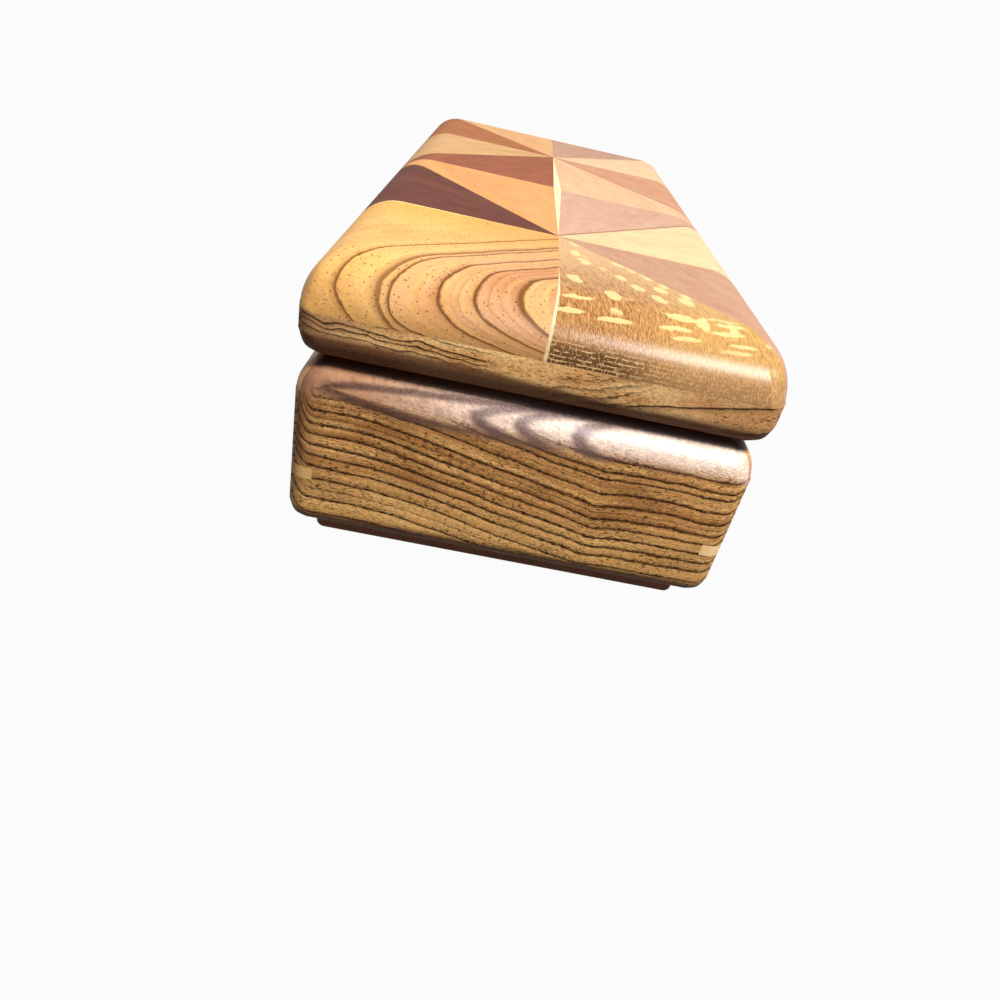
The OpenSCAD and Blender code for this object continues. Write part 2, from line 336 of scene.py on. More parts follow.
def growth_lines(finish, field, lines, start, end, halo):
    """Dark lines where a field passes the given places, with a soft halo before each of them.

    A line is (place, width, strength).
    """
    span = end - start
    share = (field - start) / span
    total = None
    free_from = start
    for first in range(0, len(lines), 6):
        stops = [(0, (0, 0, 0))]
        for place, width, strength in lines[first:first + 6]:
            soft = max(place - 0.5 * width - halo, free_from)
            profile = ((soft, 0), (place - 0.5 * width, HALO_LEVEL), (place - 0.2 * width, 1),
                       (place + 0.2 * width, 1), (place + 0.4 * width, 0))
            stops += [((at - start) / span, (level * strength,) * 3) for at, level in profile]
            free_from = place + 0.4 * width
        ramp = finish.node("ShaderNodeValToRGB", {"stops": stops}, {"Fac": share})
        value = finish.node("ShaderNodeRGBToBW", inputs={"Color": ramp})
        total = value if total is None else total + value
    return total


def pores(finish, along, across, up, length, width, amount):
    """Short dark pores along the grain, 1 where there is one."""
    place = finish.vector(along / length, across / width, up / width)
    cells = finish.node("ShaderNodeTexVoronoi", inputs={"Vector": place, "Scale": 1})
    chance = finish.node("ShaderNodeSeparateColor", inputs={"Color": cells.other("Color")})
    near = 1 - finish.smooth(cells, 0.12, 0.3)
    return near * finish.smooth(chance, 1 - amount, 1.02 - amount)


def fibres(finish, along, across, up):
    """Fine streaks along the grain, about 0 to 1."""
    place = finish.vector(along * 0.035, across, up)
    return finish.noise(place, 2.2, 4, 0.65)


# Zebrawood: tan with dark wavy growth lines
ZEBRA_LINES = [
    (-0.8, 0.8, 0.9), (2.1, 0.8, 0.9), (4.0, 0.8, 0.9), (5.9, 0.5, 0.4), (7.8, 0.9, 1.0),
    (9.6, 0.5, 0.4), (11.2, 0.9, 1.0), (13.0, 0.5, 0.5), (14.9, 0.9, 1.0), (17.6, 0.8, 0.9),
    (19.2, 0.4, 0.4), (20.6, 0.9, 1.0), (23.4, 0.8, 1.0), (26.2, 0.9, 1.0), (29.6, 0.8, 0.9),
    (32.4, 0.5, 0.5), (35.1, 0.8, 1.0), (39.9, 0.9, 1.0), (43.6, 0.8, 0.9)
]


def finger(wood, along, over, tip, middle, spread):
    """A smoky outline over the rim: a long finger of pale wood that points back along the board."""
    aside = abs(over - middle)
    steepness = 1 + 1.6 * aside / spread
    rough = 2.2 * (wood.noise(wood.vector(along * 0.3, over * 0.7, 0), 1, 4, 0.65) - 0.5)
    reach = (along - tip - aside ** 2 / spread) / steepness + rough
    return wood.smooth(reach, -1.5, 0.3) * wood.smooth(reach, 4.2, 1.0) * wood.smooth(over, -2.8, -0.4)


def zebrawood(name, along, inward, sweep, fingers=(), shift=0.0, half=None):
    """Zebrawood whose lines run along a board; sweep lifts them along it, fingers are (tip, middle, spread).

    A board with fingers is one of the body's, with a pale rim that is partly the wood's own figure and
    partly a painted highlight, and with painted shade at its foot and in the groove; one without is a rail
    of the lid, with painted shade on its lower round. With its half length given, a board's rim and corner
    are painted darker at the start, painted shade, and its rim paler with a painted highlight on its right
    half.
    """
    wood = Finish(name)
    along, inward = along(wood), inward(wood)
    over = wood.z - (RIM_Z - BODY_TOP_ROUND) / MM + inward
    outside = wood.smooth(inward, WALL / MM - 0.2, WALL / MM - 1.2)
    at_rim = wood.smooth(over, -1.6, 3.2) * outside if fingers else 0
    waves = wood.noise(wood.vector(along * 0.06, wood.z * 0.05, inward * 0.05), 1, 2) - 0.5
    ragged = wood.noise(wood.vector(along * 0.35, wood.z * 0.9, inward * 0.5), 1, 4, 0.65) - 0.5
    tremble = wood.noise(wood.vector(along * 1.6, wood.z * 1.6, inward * 1.6), 1, 2, 0.6) - 0.5
    depth = (RIM_Z / MM - 0.9) - wood.z + inward - sweep(wood, along)
    field = depth + 2.0 * waves + 0.8 * ragged + 0.5 * tremble + shift
    dark = growth_lines(wood, field, ZEBRA_LINES, -12, 48, 1.3)
    ring = wood.noise(wood.vector(along * 0.015, field * 0.55, inward * 0.02), 1, 2)
    patch = wood.noise(wood.vector(along * 0.05, wood.z * 0.1, inward * 0.05), 1, 3)
    grain = wood.noise(wood.vector(along * 0.5, field * 2.2, inward * 0.6), 1, 3, 0.7)
    grit = wood.noise(wood.vector(along * 1.6, wood.z * 2.6, inward * 2.0), 1, 2, 0.7)
    dash = wood.noise(wood.vector(along * 0.75, field * 3.4, inward * 0.8), 1, 2, 0.5)
    crowd = wood.noise(wood.vector(along * 0.06, field * 0.2, inward * 0.06), 1, 2)
    dots = wood.smooth(dash + 0.34 * (crowd - 0.5) + 0.1 * dark, 0.59, 0.64)
    ground = wood.mix(wood.smooth(ring, 0.36, 0.62), tint(250, 192, 118), tint(204, 144, 82))
    ground = wood.mix(wood.smooth(patch, 0.46, 0.68) * 0.7, ground, tint(160, 106, 58))
    ground = wood.mix(wood.smooth(grain, 0.58, 0.4) * 0.45, ground, tint(136, 90, 50))
    ground = wood.mix(wood.smooth(wood.z, 26, 14) * 0.45, ground, tint(244, 194, 120))
    # Painted light on the near board: its rim and smoke are painted darker at the left, painted shade, and
    # paler on the right half, a painted highlight where the light falls.
    lit_right_half = wood.smooth(along / half, -0.8, 0.1) if half else 0.3
    if fingers:
        # The pale rim is partly the wood's own pale figure and partly a painted highlight.
        rim = wood.mix(lit_right_half, tint(172, 126, 96), tint(250, 224, 206)) if half else tint(220, 165, 110)
        ground = wood.mix(at_rim * (0.9 if half else 0.6), ground, rim)
        ground = wood.mix(wood.smooth(grain, 0.6, 0.42) * at_rim * 0.24, ground, tint(150, 108, 84))
    ground = wood.mix(wood.smooth(grit, 0.6, 0.4) * (0.42 - 0.16 * at_rim), ground, tint(110, 70, 40))
    strength = 0.6 + 0.4 * wood.smooth(grain, 0.38, 0.56)
    shown = wood.smooth(dark + 0.4 * ragged, 0.05, 0.8) * (1 - at_rim) * strength
    lined = wood.mix(shown, ground, tint(55, 26, 8))
    lined = wood.mix(dots * (0.9 - 0.65 * at_rim), lined, tint(50, 24, 8))
    if fingers:
        smoke = None
        for tip, middle, spread in fingers:
            outline = finger(wood, along, over, tip, middle, spread)
            smoke = outline if smoke is None else wood.sum("MAXIMUM", smoke, outline)
        smoke = smoke * outside * (0.76 + 0.24 * wood.smooth(grit, 0.4, 0.6))
        smoky = wood.mix(lit_right_half, tint(74, 48, 38), tint(104, 76, 72)) if half else tint(90, 55, 35)
        lined = wood.mix(smoke, lined, smoky)
        if half:
            # Painted shade: the near board's left corner, which turns away from the light, is painted
            # darker.
            corner = wood.smooth(along, 9 - half, -half) * wood.smooth(wood.z, 14, 26)
            lined = wood.mix(corner * 0.62, lined, tint(78, 44, 38))
        # Painted shade on the body's lower round at the foot, and on the top round in the groove under the
        # lid.
        foot_shade = wood.smooth(wood.z, (BODY_LOW.z + BODY_BOTTOM_ROUND) / MM, BODY_LOW.z / MM + 2.4)
        shade = wood.sum("MAXIMUM", foot_shade, wood.smooth(over, 9.6, 12) * wood.smooth(inward, 8.8, 6.8))
    else:
        # Painted shade on the lower round of a lid rail.
        shade = wood.smooth(wood.z - RIM_Z / MM, 5.6, 3.6) * wood.smooth(inward, 6.5, 4.5)
    colour = wood.mix(shade * 0.86, lined, tint(84, 42, 26))
    coat = 0.2 + (0.25 + 0.55 * lit_right_half) * at_rim * (1 - 0.6 * shade)
    return wood.lacquer(colour, 1 - 0.6 * dots - 0.2 * dark, coat=coat)


# How far in from a board's outer face and how far along it, in millimetres


def from_near(wood):
    return wood.x - BODY_LOW.x / MM


def from_far(wood):
    return BODY_HIGH.x / MM - wood.x


def from_front(wood):
    return wood.y - BODY_LOW.y / MM


def from_back(wood):
    return BODY_HIGH.y / MM - wood.y


def rightward(wood):
    return -1 * wood.y


def farward(wood):
    return wood.x


def near_sweep(wood, along):
    """How far the near board's lines drop from its left to its right, in millimetres."""
    drop = 9.6 * wood.smooth(along, -44, 24)
    dip = 1.3 / (1 + ((along - 20) / 4) ** 2)
    lift = (2.5 + 4.5 * wood.smooth(wood.z, 30, 42)) * wood.smooth(along, -49.5, -55)
    return drop + dip * wood.smooth(wood.z, 44, 20) - lift


def plain_sweep(wood, along):
    return 3 * wood.smooth(along, -80, 80)


# Golden wood: yellow with brown cathedral arches that open to the near joint
GOLDEN_LINES = [
    (-38.0, 1.1, 0.9), (-29.2, 1.9, 0.8), (-26.8, 0.9, 0.95), (-22.0, 0.5, 0.15), (-18.8, 1.1, 1.0),
    (-16.6, 0.5, 0.3), (-15.2, 0.5, 0.4), (-12.2, 1.1, 1.0), (-9.8, 0.5, 0.35), (-7.4, 0.5, 0.3),
    (-4.0, 1.9, 0.95)
]


def golden_wood(name):
    wood = Finish(name)
    right = -1 * wood.y
    ahead = wood.x - (LID_LOW.x + LID_TOP_ROUND) / MM
    depth = LID_HIGH.z / MM - wood.z
    spread = wood.sum("MAXIMUM", 0, 1.55 + 0.0455 * right) + 0.045 * depth
    ragged = wood.noise(wood.vector(right * 0.12, wood.x * 0.12, wood.z * 0.12), 1, 3) - 0.5
    fine = wood.noise(wood.place, 0.9, 2) - 0.5
    field = right - ahead - spread * depth + 2.0 * ragged + 0.6 * fine
    dark = growth_lines(wood, field, GOLDEN_LINES, -60, 10, 1.5)
    along = (wood.x + wood.y) * 0.707
    across = (wood.x - wood.y) * 0.707
    ring = wood.noise(wood.vector(field * 0.5, along * 0.02, wood.z * 0.02), 1, 2)
    cloud = wood.noise(wood.place, 0.06, 3)
    grit = wood.noise(wood.place, 1.7, 2, 0.7)
    dots = pores(wood, along, across, wood.z, 1.25, 0.75, 0.45 + 0.4 * dark)
    ground = wood.mix(wood.smooth(field, -42, -8), tint(224, 170, 98), tint(214, 162, 120))
    ground = wood.mix(wood.smooth(ring, 0.4, 0.65) * 0.6, ground, tint(240, 190, 112))
    ground = wood.mix(wood.smooth(cloud, 0.45, 0.7) * 0.5, ground, tint(204, 134, 66))
    inner = wood.smooth(field, -17, -9) * wood.smooth(depth, 4, 1) * wood.smooth(right, -34, -22)
    ground = wood.mix(inner * wood.smooth(ring, 0.6, 0.42) * 0.6, ground, tint(186, 122, 70))
    ground = wood.mix(wood.smooth(ahead, 16, 40) * 0.6, ground, tint(230, 164, 64))
    ground = wood.mix(wood.smooth(right, -30, -8) * 0.3, ground, tint(196, 136, 90))
    lower = wood.smooth(depth, 6, 14) * (0.3 + 0.4 * wood.smooth(right, -40, -10))
    ground = wood.mix(lower, ground, tint(184, 132, 76))
    ground = wood.mix(wood.smooth(grit, 0.62, 0.4) * 0.18, ground, tint(140, 84, 36))
    glue = wood.smooth(wood.x, NEAR_CENTRE.x / MM - 0.7, NEAR_CENTRE.x / MM - 0.4)
    glue = glue * wood.smooth(wood.y, 12, 30)
    lined = wood.mix(dark * 0.92, ground, tint(98, 50, 10))
    lined = wood.mix(dots * 0.8, lined, tint(84, 44, 18))
    colour = wood.mix(glue * 0.8, lined, tint(246, 220, 160))
    return wood.lacquer(colour, 1 - 0.7 * dots - 0.15 * dark, coat=0.4)


def flecks(finish, along, across, length, width, chance, wander):
    """Pale rounded flecks, 1 where there is one, on cells of the given size."""
    warp = wander * (finish.noise(finish.place, 0.35, 3, 0.6) - 0.5)
    place = finish.vector((along + warp) / length, (across - warp) / width, 0)
    settings = {"voronoi_dimensions": "2D", "distance": "MINKOWSKI"}
    cells = finish.node("ShaderNodeTexVoronoi", settings, {"Vector": place, "Scale": 1, "Exponent": 2.5})
    luck = finish.node("ShaderNodeSeparateColor", inputs={"Color": cells.other("Color")})
    size = 0.2 + 0.16 * luck
    return finish.smooth(size - cells, -0.02, 0.07) * finish.smooth(luck - 1 + chance, 0, 0.02)


def leopardwood(name):
    """Brown with pale ray flecks along its diagonal and edge, and rows of dashes on its end."""
    wood = Finish(name)
    right = -1 * wood.y
    depth = LID_HIGH.z / MM - wood.z
    off_diagonal = (wood.y - wood.x + NEAR_CENTRE.x / MM) * 0.707
    edge = wood.x + depth - (LID_LOW.x + LID_TOP_ROUND) / MM
    band = wood.smooth(off_diagonal, 15, 9)
    along = wood.x * 0.95 + wood.y * 0.31
    across = wood.y * 0.95 - wood.x * 0.31
    broad = flecks(wood, along, across, 8.2, 5.2, 0.2 + 0.72 * band, 2.6)
    long = flecks(wood, wood.y, wood.x - 0.9 * depth + 0.12 * wood.y, 12.0, 2.5, 0.5, 2.2)
    hatch = wood.noise(wood.vector(along * 0.4, across * 5.0, wood.z * 1.2), 1, 2, 0.6)
    end = wood.smooth(depth, 7, 10.5)
    broken = wood.noise(wood.vector(wood.y * 0.35, wood.z * 0.8, wood.x * 0.3), 1, 3, 0.7)
    rows = wood.sum("SINE", wood.z * 6.2 + 5 * broken + 0.02 * right)
    dashes = wood.smooth(rows, 0.45, 0.9) * wood.smooth(broken, 0.42, 0.52) * end
    speckle = wood.noise(wood.vector(wood.y * 2.4, wood.z * 1.2, wood.x), 1, 2, 0.7)
    side = wood.smooth(right, 12, 34)
    ground = wood.mix(wood.smooth(hatch, 0.36, 0.64), tint(125, 78, 42), tint(195, 145, 86))
    to_centre = wood.smooth(wood.x, NEAR_CENTRE.x / MM - 44, NEAR_CENTRE.x / MM - 8)
    ground = wood.mix(to_centre * 0.6, ground, tint(215, 175, 125))
    ground = wood.mix(side * (1 - end) * 0.3, ground, tint(220, 180, 105))
    ground = wood.mix(end * (1 - side) * 0.92, ground, tint(82, 46, 20))
    ground = wood.mix(end * side * 0.7, ground, tint(172, 126, 82))
    ground = wood.mix(end * wood.smooth(speckle, 0.52, 0.66) * 0.5, ground, tint(236, 200, 140))
    marked = wood.mix(dashes * (0.8 - 0.6 * side), ground, tint(232, 192, 126))
    over_edge = wood.smooth(edge, -0.5, -2.5) * wood.smooth(depth, 5.2, 3.8)
    on_top = wood.smooth(depth, 2.6, 1.4)
    pale = wood.sum("MAXIMUM", broad * on_top, long * over_edge)
    colour = wood.mix(pale * 0.8, marked, tint(230, 195, 135))
    return wood.lacquer(colour, 0.8 + 0.2 * hatch, coat=0.5, blur=0.27)


def rail_wood(name):
    """The near rail: tan, with a spindle of lines at its left and slanting streaks at its right."""
    wood = Finish(name)
    right = -1 * wood.y
    up = wood.z - RIM_Z / MM
    slow = wood.noise(wood.vector(right * 0.09, wood.z * 0.12, wood.x * 0.1), 1, 2) - 0.5
    ragged = wood.noise(wood.vector(right * 0.5, wood.z * 1.4, wood.x), 1, 3, 0.6) - 0.5
    left = wood.smooth(right, -8, -16)
    spindle_lines = [(4.4, 0.5, 0.9), (5.8, 0.5, 1.0), (7.0, 0.6, 1.0), (9.2, 0.5, 0.7)]
    spindle = growth_lines(wood, up + 0.06 * right + 6 * slow + 0.5 * ragged, spindle_lines, -6, 14, 0.6)
    spindle = spindle * left
    rising = growth_lines(wood, up - 0.19 * (right - 22) + 1.5 * slow + 0.5 * ragged,
                          [(-1.6, 0.7, 1.0), (5.0, 0.7, 1.0), (11.6, 0.6, 0.7)], -12, 20, 0.9)
    rising = rising * wood.smooth(right, 14, 22)
    swirl = growth_lines(wood, up - 0.32 * (right - 6) + 5 * slow + 2.2 * ragged,
                         [(1.2, 1.0, 0.7), (3.4, 0.8, 0.85), (5.6, 1.1, 0.7), (8.0, 0.8, 0.6)], -12, 14, 1.2)
    swirl = swirl * wood.smooth(right, -2, 5) * wood.smooth(right, 28, 16)
    dark = wood.sum("MAXIMUM", wood.sum("MAXIMUM", spindle, rising), swirl)
    grit = wood.noise(wood.vector(right * 1.6, wood.z * 2.6, wood.x * 2.0), 1, 2, 0.7)
    dash = wood.noise(wood.vector(right * 0.75, wood.z * 3.4, wood.x * 0.8), 1, 2, 0.5)
    patch = wood.noise(wood.vector(right * 0.05, wood.z * 0.2, wood.x * 0.05), 1, 3)
    dots = wood.smooth(dash + 0.3 * (patch - 0.5), 0.63, 0.67)
    ground = wood.mix(wood.smooth(patch, 0.4, 0.62), tint(252, 206, 140), tint(222, 166, 104))
    ground = wood.mix(wood.smooth(right, -30, -54) * 0.7, ground, tint(140, 88, 60))
    ground = wood.mix(wood.smooth(right, 10, 40) * 0.5, ground, tint(180, 128, 84))
    ground = wood.mix(wood.smooth(grit, 0.6, 0.4) * 0.4, ground, tint(116, 76, 42))
    lined = wood.mix(dark * 0.95, ground, tint(48, 22, 8))
    lined = wood.mix(dots * 0.8, lined, tint(60, 30, 12))
    # Painted shade on the rail's lower round, reaching higher towards the left.
    outer = wood.smooth(from_near(wood), 6.5, 4.5)
    shade = wood.smooth(up + 0.8 * slow + 2.4 * wood.smooth(right, -24, 30), 7.4, 5.4) * outer
    colour = wood.mix(shade * 0.86, lined, tint(84, 42, 26))
    return wood.lacquer(colour, 1 - 0.6 * dots - 0.2 * dark)


def seam(wood, start, end, width):
    """1 along a glued joint that runs from start to end in plan."""
    way = (end - start).normalized()
    offset = (wood.x - start.x / MM) * way.y - (wood.y - start.y / MM) * way.x
    return wood.smooth(abs(offset), width, 0.5 * width)


def plain_wood(name, light, dark, heading, streak=0.5, pore=0.12, joint=None):
    """A quiet wood: a light and a dark tone in soft streaks, with its grain along a heading in plan."""
    wood = Finish(name)
    along = wood.x * cos(heading) + wood.y * sin(heading)
    across = wood.y * cos(heading) - wood.x * sin(heading)
    broad = wood.noise(wood.vector(along * 0.02, across * 0.11, wood.z * 0.11), 1, 4, 0.6)
    mottle = wood.noise(wood.vector(along * 0.12, across * 0.2, wood.z * 0.2), 1, 3, 0.6)
    fine = fibres(wood, along, across, wood.z)
    grit = wood.noise(wood.place, 1.5, 3, 0.7)
    dots = pores(wood, along, across, wood.z, 2.4, 0.5, pore)
    tone = wood.smooth(broad, 0.3, 0.7) * streak + wood.smooth(mottle, 0.3, 0.7) * (1 - streak)
    tone = tone * 0.7 + wood.smooth(fine, 0.3, 0.7) * 0.3
    colour = wood.mix(tone, light, dark)
    colour = wood.mix(wood.smooth(grit, 0.6, 0.4) * 0.16, colour, tuple(level * 0.4 for level in dark))
    colour = wood.mix(dots * 0.4, colour, tuple(level * 0.35 for level in dark))
    if joint:
        glue = seam(wood, *joint, 1.1) * wood.smooth(grit, 0.3, 0.5)
        colour = wood.mix(glue * 0.7, colour, tint(112, 74, 50))
    return wood.lacquer(colour, 1 - 0.6 * dots - 0.1 * fine)


def felt(name):
    cloth = Finish(name)
    nap = cloth.noise(cloth.place, 3.5, 4, 0.7)
    cloud = cloth.noise(cloth.place, 0.05, 2)
    colour = cloth.mix(nap, tint(18, 44, 28), tint(52, 92, 62))
    colour = cloth.mix(cloud * 0.3, colour, tint(30, 66, 44))
    cloth.feed(cloth.shader.inputs["Base Color"], colour)
    cloth.feed(cloth.shader.inputs["Roughness"], 0.95)
    cloth.feed(cloth.shader.inputs["Sheen Weight"], 0.3)
    bump = cloth.node("ShaderNodeBump", inputs={"Strength": 0.8, "Distance": 0.3 * MM, "Height": nap})
    cloth.feed(cloth.shader.inputs["Normal"], bump)
    return cloth.material


def satin_brass(name):
    metal = Finish(name)
    brushed = metal.noise(metal.vector(metal.x * 0.3, metal.y * 6, metal.z * 6), 1, 3, 0.6)
    stain = metal.noise(metal.place, 0.35, 3)
    colour = metal.mix(metal.smooth(stain, 0.4, 0.75) * 0.5, tint(214, 176, 98), tint(160, 116, 56))
    metal.feed(metal.shader.inputs["Base Color"], colour)
    metal.feed(metal.shader.inputs["Metallic"], 1.0)
    metal.feed(metal.shader.inputs["Roughness"], 0.26 + 0.16 * brushed)
    bump = metal.node("ShaderNodeBump", inputs={"Strength": 0.3, "Distance": 0.02 * MM, "Height": brushed})
    metal.feed(metal.shader.inputs["Normal"], bump)
    return metal.material


# Body boards, with their saw cuts for the keys and the hinge pockets

body_block = soft_block("body_block", BODY_LOW, BODY_HIGH, BODY_TOP_ROUND, UPRIGHT_ROUND, BODY_BOTTOM_ROUND)
lid_block = soft_block("lid_block", LID_LOW, LID_HIGH, LID_TOP_ROUND, UPRIGHT_ROUND, LID_BOTTOM_ROUND)


def mitred(block, name, corner_low, corner_high, wall, side):
    """One board of a mitred frame: side is the way that its outer face looks."""
    board = copy_of(block, name)
    length_way = Vector((abs(side.y), abs(side.x), 0))
    middle = (corner_low + corner_high) / 2
    half = (corner_high - corner_low) / 2
    reach = half.x if side.x else half.y
    saw(board, middle + side * (reach - wall), -side)
    for way in (-1, 1):
        corner = Vector((
            middle.x + half.x * (side.x + way * length_way.x),
            middle.y + half.y * (side.y + way * length_way.y),
            0
        ))
        saw(board, corner, way * length_way - side)
    return board


def corner_signs():
    return [(x, y) for x in (-1, 1) for y in (-1, 1)]


KEY_LOW, KEY_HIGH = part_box("corner_key_near_front")
KEY_LEG = KEY_HIGH.x - KEY_LOW.x


def key_cutter(x, y):
    """The wedge of wood that a saw takes out of one corner for its key."""
    corner = Vector((x * BODY_HIGH.x, y * BODY_HIGH.y, 0))
    inward = Vector((-x, -y, 0)).normalized()
    depth = KEY_LEG / 2 ** 0.5
    reach = 20 * MM
    centre = corner + inward * (depth - reach / 2) + Vector((0, 0, (KEY_LOW.z + KEY_HIGH.z) / 2))
    bpy.ops.object.select_all(action="DESELECT")
    bpy.ops.mesh.primitive_cube_add(size=1, location=centre, rotation=(0, 0, pi / 4))
    cutter = bpy.context.object
    cutter.scale = (reach, reach, KEY_HIGH.z - KEY_LOW.z)
    bpy.ops.object.transform_apply(location=True, rotation=True, scale=True)
    return cutter


HINGE_HIGH = high("hinge_near_body_leaf")
PIN_LOW, PIN_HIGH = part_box("hinge_near_pin")
AXIS = (PIN_LOW + PIN_HIGH) / 2
KNUCKLE_RADIUS = HINGE_HIGH.y - AXIS.y
KNUCKLE_RELIEF = 0.3 * MM
LEAF_GAP = 0.1 * MM
LEAF_THICKNESS = 1 * MM
FIT_GAP = 0.05 * MM


def cut_hinge_pockets(board, up):
    """Mortises for both leaves on one side of the joint, with a channel round the knuckles."""
    for node in ("hinge_near_body_leaf", "hinge_far_body_leaf"):
        leaf_low, leaf_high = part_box(node)
        floor = RIM_Z + up * (LEAF_GAP + LEAF_THICKNESS)
        air = RIM_Z - up * 2 * MM
        mortise_low = Vector((leaf_low.x - FIT_GAP, leaf_low.y - FIT_GAP, min(floor, air)))
        mortise_high = Vector((leaf_high.x + FIT_GAP, AXIS.y, max(floor, air)))
        cut_away(board, bar(mortise_low, mortise_high))
        middle = Vector(((leaf_low.x + leaf_high.x) / 2, AXIS.y, AXIS.z))
        length = leaf_high.x - leaf_low.x + 2 * KNUCKLE_RELIEF
        cut_away(board, rod(middle, KNUCKLE_RADIUS + KNUCKLE_RELIEF, length))


LEFT, RIGHT, NEAR, FAR = Vector((0, 1, 0)), Vector((0, -1, 0)), Vector((-1, 0, 0)), Vector((1, 0, 0))

# Fingers on the rim: where each starts along its board, its middle over the round, how fast it widens
NEAR_FINGERS = [(-48, 3.5, 0.9), (-13.4, 3.8, 3.4), (-3.2, 4.2, 5.0), (10.4, 4.0, 6.4)]
FAR_FINGERS = [(-40, 4.0, 2.0), (2, 3.6, 4.5), (26, 4.2, 3.0)]
SIDE_FINGERS = [(-96, 3.6, 1.4), (-30, 4.0, 3.0), (34, 3.8, 2.2), (78, 4.0, 4.0)]

BOARDS = [
    ("end_board_near", NEAR,
     zebrawood("zebrawood_near", rightward, from_near, near_sweep, NEAR_FINGERS, half=BODY_HIGH.y / MM)),
    ("end_board_far", FAR, zebrawood("zebrawood_far", rightward, from_far, plain_sweep, FAR_FINGERS, 1.5)),
    ("side_board_front", RIGHT,
     zebrawood("zebrawood_front", farward, from_front, plain_sweep, SIDE_FINGERS, -1)),
    ("side_board_back", LEFT, zebrawood("zebrawood_back", farward, from_back, plain_sweep, SIDE_FINGERS, 3))
]
for node, side, finish in BOARDS:
    board = mitred(body_block, node + "_sanded", BODY_LOW, BODY_HIGH, WALL, side)
    for x, y in corner_signs():
        if side.x == x or side.y == y:
            cut_away(board, key_cutter(x, y))
    if node == "side_board_back":
        cut_hinge_pockets(board, -1)
    fit(board, node, "box", finish)

maple = plain_wood("maple_keys", tint(226, 182, 122), tint(206, 156, 96), 0, 0.4, 0.02)
light_maple = plain_wood("light_maple_keys", tint(250, 212, 160), tint(238, 192, 138), 0, 0.4, 0.02)
for node, x, y in (
    ("corner_key_near_front", -1, -1), ("corner_key_near_back", -1, 1),
    ("corner_key_far_front", 1, -1), ("corner_key_far_back", 1, 1)
):
    key = copy_of(body_block, node + "_sanded")
    saw(key, Vector((0, 0, KEY_LOW.z)), Vector((0, 0, -1)))
    saw(key, Vector((0, 0, KEY_HIGH.z)), Vector((0, 0, 1)))
    saw(key, Vector((x * (BODY_HIGH.x - KEY_LEG), y * BODY_HIGH.y, 0)), Vector((-x, -y, 0)))
    fit(key, node, "box", maple if y > 0 else light_maple)


# Rails of the lid

RAILS = [
    ("lid_rail_near", NEAR, rail_wood("zebrawood_lid_near")),
    ("lid_rail_far", FAR, zebrawood("zebrawood_lid_far", rightward, from_far, plain_sweep, shift=8)),
    ("lid_rail_front", RIGHT, zebrawood("zebrawood_lid_front", farward, from_front, plain_sweep, shift=20)),
    ("lid_rail_back", LEFT, zebrawood("zebrawood_lid_back", farward, from_back, plain_sweep, shift=11))
]
for node, side, finish in RAILS:
    rail = mitred(lid_block, node + "_sanded", LID_LOW, LID_HIGH, LID_WALL, side)
    saw(rail, Vector((0, 0, RAIL_TOP)), Vector((0, 0, 1)))
    if node == "lid_rail_back":
        cut_hinge_pockets(rail, 1)
    fit(rail, node, "lid", finish)


# Thick pieces of the lid's top

def lid_corner(x, y):
    return Vector((x * LID_HIGH.x, y * LID_HIGH.y, 0))


def through(centre, corner):
    """A point beyond the lid on the line from a fan's centre through a corner."""
    return centre + (corner - centre) * (1 + OUTSIDE / LID_HIGH.y)


BACK, FRONT = Vector((0, LID_HIGH.y + OUTSIDE, 0)), Vector((0, LID_LOW.y - OUTSIDE, 0))
NEAR_X, FAR_X = LID_LOW.x - OUTSIDE, LID_HIGH.x + OUTSIDE
near_back = Vector((NEAR_X, BACK.y, 0))
over_near_back, over_near_front = NEAR_CENTRE + BACK, NEAR_CENTRE + FRONT
over_far_back, over_far_front = FAR_CENTRE + BACK, FAR_CENTRE + FRONT
near_front = through(NEAR_CENTRE, lid_corner(-1, -1))
far_back, far_front = through(FAR_CENTRE, lid_corner(1, 1)), through(FAR_CENTRE, lid_corner(1, -1))
LINE_OVERRUN = 1.2
TIP_OVERRUN = 1.15
line_back = LINE_START + (LINE_BACK - LINE_START) * LINE_OVERRUN
line_front = LINE_START + (LINE_FRONT - LINE_START) * LINE_OVERRUN


def on_to(start, end):
    """A point past the end of a line, outside the lid."""
    return start + (end - start) * TIP_OVERRUN


near_back_tip, near_front_tip = on_to(NEAR_CENTRE, BACK_TIP), on_to(NEAR_CENTRE, FRONT_TIP)
far_back_tip, far_front_tip = on_to(FAR_CENTRE, BACK_TIP), on_to(FAR_CENTRE, FRONT_TIP)

